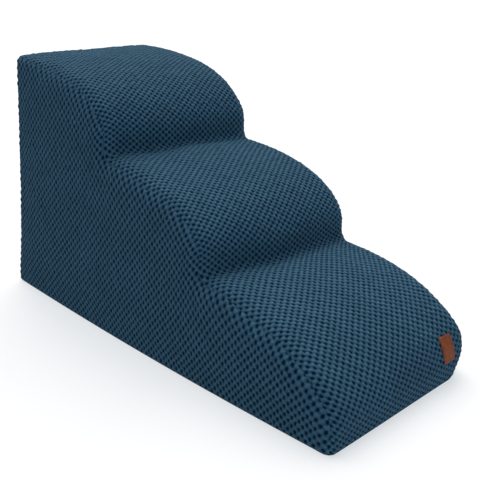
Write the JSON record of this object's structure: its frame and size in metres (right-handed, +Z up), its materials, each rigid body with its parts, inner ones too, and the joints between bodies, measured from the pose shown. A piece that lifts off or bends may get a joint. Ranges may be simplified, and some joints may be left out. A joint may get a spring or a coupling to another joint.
{
  "type": "pet stairs",
  "caption": "Soft foam pet stairs with curved treads in a zipped, bobbly knit cover, with a non-slip base and a plain leather patch.",
  "frame": {"origin": "middle of the footprint, on the floor", "axes": "+X across the width towards the zipped side, +Y along the length from the lowest step to the highest, +Z up"},
  "size_m": [0.2522, 0.6005, 0.33],
  "materials": {
    "foam": "open-cell upholstery foam",
    "cover_fabric": "bobbly chenille knit, deep teal blue",
    "base_fabric": "close woven cloth with raised grip dots",
    "zip_tape": "woven polyester tape",
    "zip_coil": "moulded nylon coil",
    "zip_metal": "enamelled zinc casting",
    "thread": "polyester sewing thread",
    "leather": "smooth vegetable-tanned leather with darkened edges",
    "patch_thread": "dark brown waxed thread"
  },
  "bodies": {
    "stairs": {"foam_base_slab": "foam", "foam_middle_slab": "foam", "foam_top_slab": "foam", "base_panel": "base_fabric", "back_panel": "cover_fabric", "tread_panel": "cover_fabric", "side_panel_left": "cover_fabric", "side_panel_right": "cover_fabric", "zip_facing": "cover_fabric", "zipper_tape_upper": "zip_tape", "zipper_tape_lower": "zip_tape", "zipper_coil_upper": "zip_coil", "zipper_coil_lower": "zip_coil", "zipper_top_stop": "zip_metal", "zipper_bottom_stop": "zip_metal", "zip_stitching_upper": "thread", "zip_stitching_lower": "thread", "label_patch": "leather", "label_stitching": "patch_thread"},
    "zip_slider": {"zipper_slider": "zip_metal"},
    "zip_pull": {"zipper_pull": "zip_metal"}
  },
  "joints": [
    {"name": "zip_slide", "type": "slide", "parent": "stairs", "child": "zip_slider", "axis": [0, -1, 0], "range_m": [0, 0.5224]},
    {"name": "pull_hinge", "type": "hinge", "parent": "zip_slider", "child": "zip_pull", "pos_m": [0.12555, 0.2612, 0.024], "axis": [0, 0, 1], "range_deg": [0, 170]}
  ]
}
